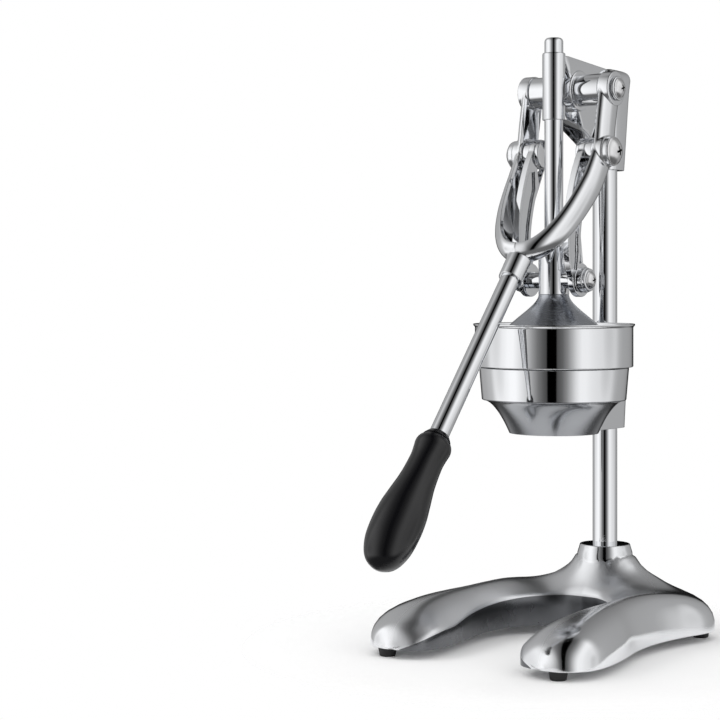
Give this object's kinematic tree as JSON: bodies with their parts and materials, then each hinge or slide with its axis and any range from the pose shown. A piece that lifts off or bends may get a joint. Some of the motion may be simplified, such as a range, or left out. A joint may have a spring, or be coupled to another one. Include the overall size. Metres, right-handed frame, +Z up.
{
  "type": "bench lever citrus press",
  "caption": "Bench-standing lever press for citrus: a long handle with a black grip swings a fork that pushes a bell down on a strainer cone in a bowl, over a horseshoe base.",
  "frame": {"origin": "on the press axis, at the plane of the feet's lower faces, where it meets the bench", "axes": "+X to the user's right, -Y towards the user and the open end of the base, +Z up along the press axis; the lever is drawn at its lowest"},
  "size_m": [0.1896, 0.3339, 0.454],
  "materials": {
    "chrome_cast": "polished, on castings",
    "chrome_bar": "mirror polished, on turned pieces",
    "bowl_steel": "bright sheet, finely brushed",
    "bell_satin": "satin, spun",
    "screw_nickel": "soft nickel plating",
    "steel_hardware": "zinc plated",
    "dark_hardware": "black oxide",
    "foot_rubber": "matte",
    "grip_black": "glossy black"
  },
  "bodies": {
    "stand": {"base_casting": "chrome_cast", "foot_front_left": "foot_rubber", "foot_front_right": "foot_rubber", "foot_rear_left": "foot_rubber", "foot_rear_right": "foot_rubber", "foot_screws": "steel_hardware", "post_tube": "chrome_bar", "post_plug": "steel_hardware", "post_bolt": "steel_hardware", "post_washer": "steel_hardware", "head_casting": "chrome_cast", "head_set_screws": "dark_hardware", "bowl_holder": "chrome_cast", "holder_set_screw": "dark_hardware", "juice_bowl": "bowl_steel", "strainer_cone": "bowl_steel", "pivot_screw_left": "screw_nickel", "pivot_screw_right": "screw_nickel", "pivot_washer_left": "chrome_bar", "pivot_washer_right": "chrome_bar"},
    "lever": {"lever_fork": "chrome_cast", "handle_bar": "chrome_bar", "grip": "grip_black"},
    "left_link": {"link_left": "chrome_cast", "link_bolt_left": "screw_nickel", "link_screw_left": "screw_nickel", "link_washer_left": "chrome_bar"},
    "right_link": {"link_right": "chrome_cast", "link_bolt_right": "screw_nickel", "link_screw_right": "screw_nickel", "link_washer_right": "chrome_bar"},
    "plunger": {"plunger_rod": "chrome_bar", "crosshead": "chrome_bar", "press_bell": "bell_satin", "bell_nut": "steel_hardware"}
  },
  "joints": [
    {"name": "lever_swing", "type": "hinge", "parent": "stand", "child": "lever", "pos_m": [0, 0.024, 0.4157], "axis": [-1, 0, 0], "range_deg": [0, 90]},
    {"name": "plunger_slide", "type": "slide", "parent": "stand", "child": "plunger", "axis": [0, 0, 1], "range_m": [0, 0.0594]},
    {"name": "left_link_swing", "type": "hinge", "parent": "lever", "child": "left_link", "pos_m": [0, 0.014, 0.3683], "axis": [1, 0, 0], "range_deg": [0, 113]},
    {"name": "right_link_swing", "type": "hinge", "parent": "lever", "child": "right_link", "pos_m": [0, 0.014, 0.3683], "axis": [1, 0, 0], "range_deg": [0, 113]}
  ],
  "couplings": [
    {"joint": "plunger_slide", "follows": "lever_swing", "m_per_rad": 0.037726},
    {"joint": "left_link_swing", "follows": "lever_swing", "ratio": 1.2486},
    {"joint": "right_link_swing", "follows": "lever_swing", "ratio": 1.2486}
  ]
}
